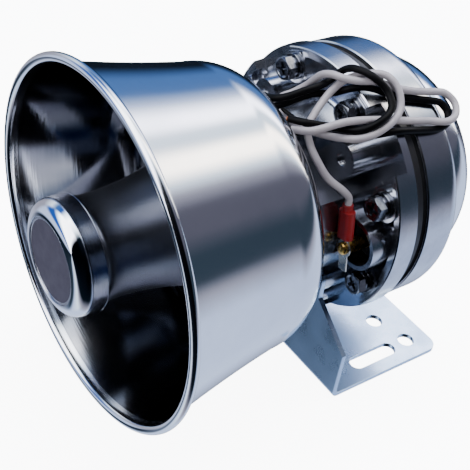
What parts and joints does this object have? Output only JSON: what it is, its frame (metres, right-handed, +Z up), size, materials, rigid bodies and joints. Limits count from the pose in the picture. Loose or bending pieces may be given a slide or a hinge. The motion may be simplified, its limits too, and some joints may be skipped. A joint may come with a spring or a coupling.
{
  "type": "car horn",
  "caption": "Re-entrant siren horn with a chromed bell, a folded sound path, a round compression driver, a folded foot bracket and two push-on leads.",
  "frame": {"origin": "centre of the foot's underside, halfway between the upright's front face and the foot's rear edge", "axes": "+Z up, -Y out of the bell's mouth along the horn axis, +X to the right seen from the mouth"},
  "size_m": [0.16, 0.1942, 0.1655],
  "materials": {
    "chrome_spun": "polished chrome on spun steel, satin outside and mirror inside",
    "chrome_cast": "bright chrome on a die casting",
    "chrome_cap": "mirror chrome",
    "reflector_chrome": "polished chrome with fine turning lines",
    "nameplate_grey": "satin grey, bare",
    "cast_alloy": "as cast",
    "zinc_fastener": "bright zinc plate",
    "zinc_bracket": "blue zinc plate",
    "black_gasket": "matt black fibre and rubber",
    "black_plastic": "matt black phenolic",
    "phenolic_dome": "pressed phenolic cloth",
    "plug_plastic": "moulded",
    "coil_copper": "enamelled copper wire",
    "pole_steel": "turned, thin zinc plate",
    "ferrite": "matt ferrite",
    "brass_terminal": "turned brass",
    "tinned_tab": "tinned strip",
    "red_sleeve": "translucent vinyl",
    "white_lead_skin": "white vinyl",
    "black_lead_skin": "black vinyl"
  },
  "bodies": {
    "root": {"horn_bell": "chrome_spun", "reflector": "reflector_chrome", "nose_cap": "chrome_cap", "nameplate": "nameplate_grey", "cap_screw": "zinc_fastener", "throat_tube": "cast_alloy", "bell_screws": "zinc_fastener", "bell_gasket": "black_gasket", "front_cover": "chrome_cast", "case_bolts": "zinc_fastener", "case_spring_washers": "zinc_fastener", "case_flat_washers": "zinc_fastener", "front_gasket": "black_gasket", "diaphragm_frame": "black_plastic", "rear_gasket": "black_gasket", "phase_plug": "plug_plastic", "diaphragm": "phenolic_dome", "voice_coil": "coil_copper", "pole_plate": "pole_steel", "ring_magnet": "ferrite", "yoke": "pole_steel", "driver_case": "chrome_cast", "cover_seal": "black_gasket", "rear_cover": "chrome_spun", "cover_screws": "zinc_fastener", "terminal_insulators": "black_plastic", "terminal_posts": "brass_terminal", "terminal_tabs": "tinned_tab", "terminal_screws": "brass_terminal", "spade_sleeves": "red_sleeve", "white_lead": "white_lead_skin", "black_lead": "black_lead_skin", "mounting_bracket": "zinc_bracket", "bracket_bolts": "zinc_fastener", "bracket_spring_washers": "zinc_fastener", "bracket_flat_washers": "zinc_fastener"}
  },
  "joints": []
}
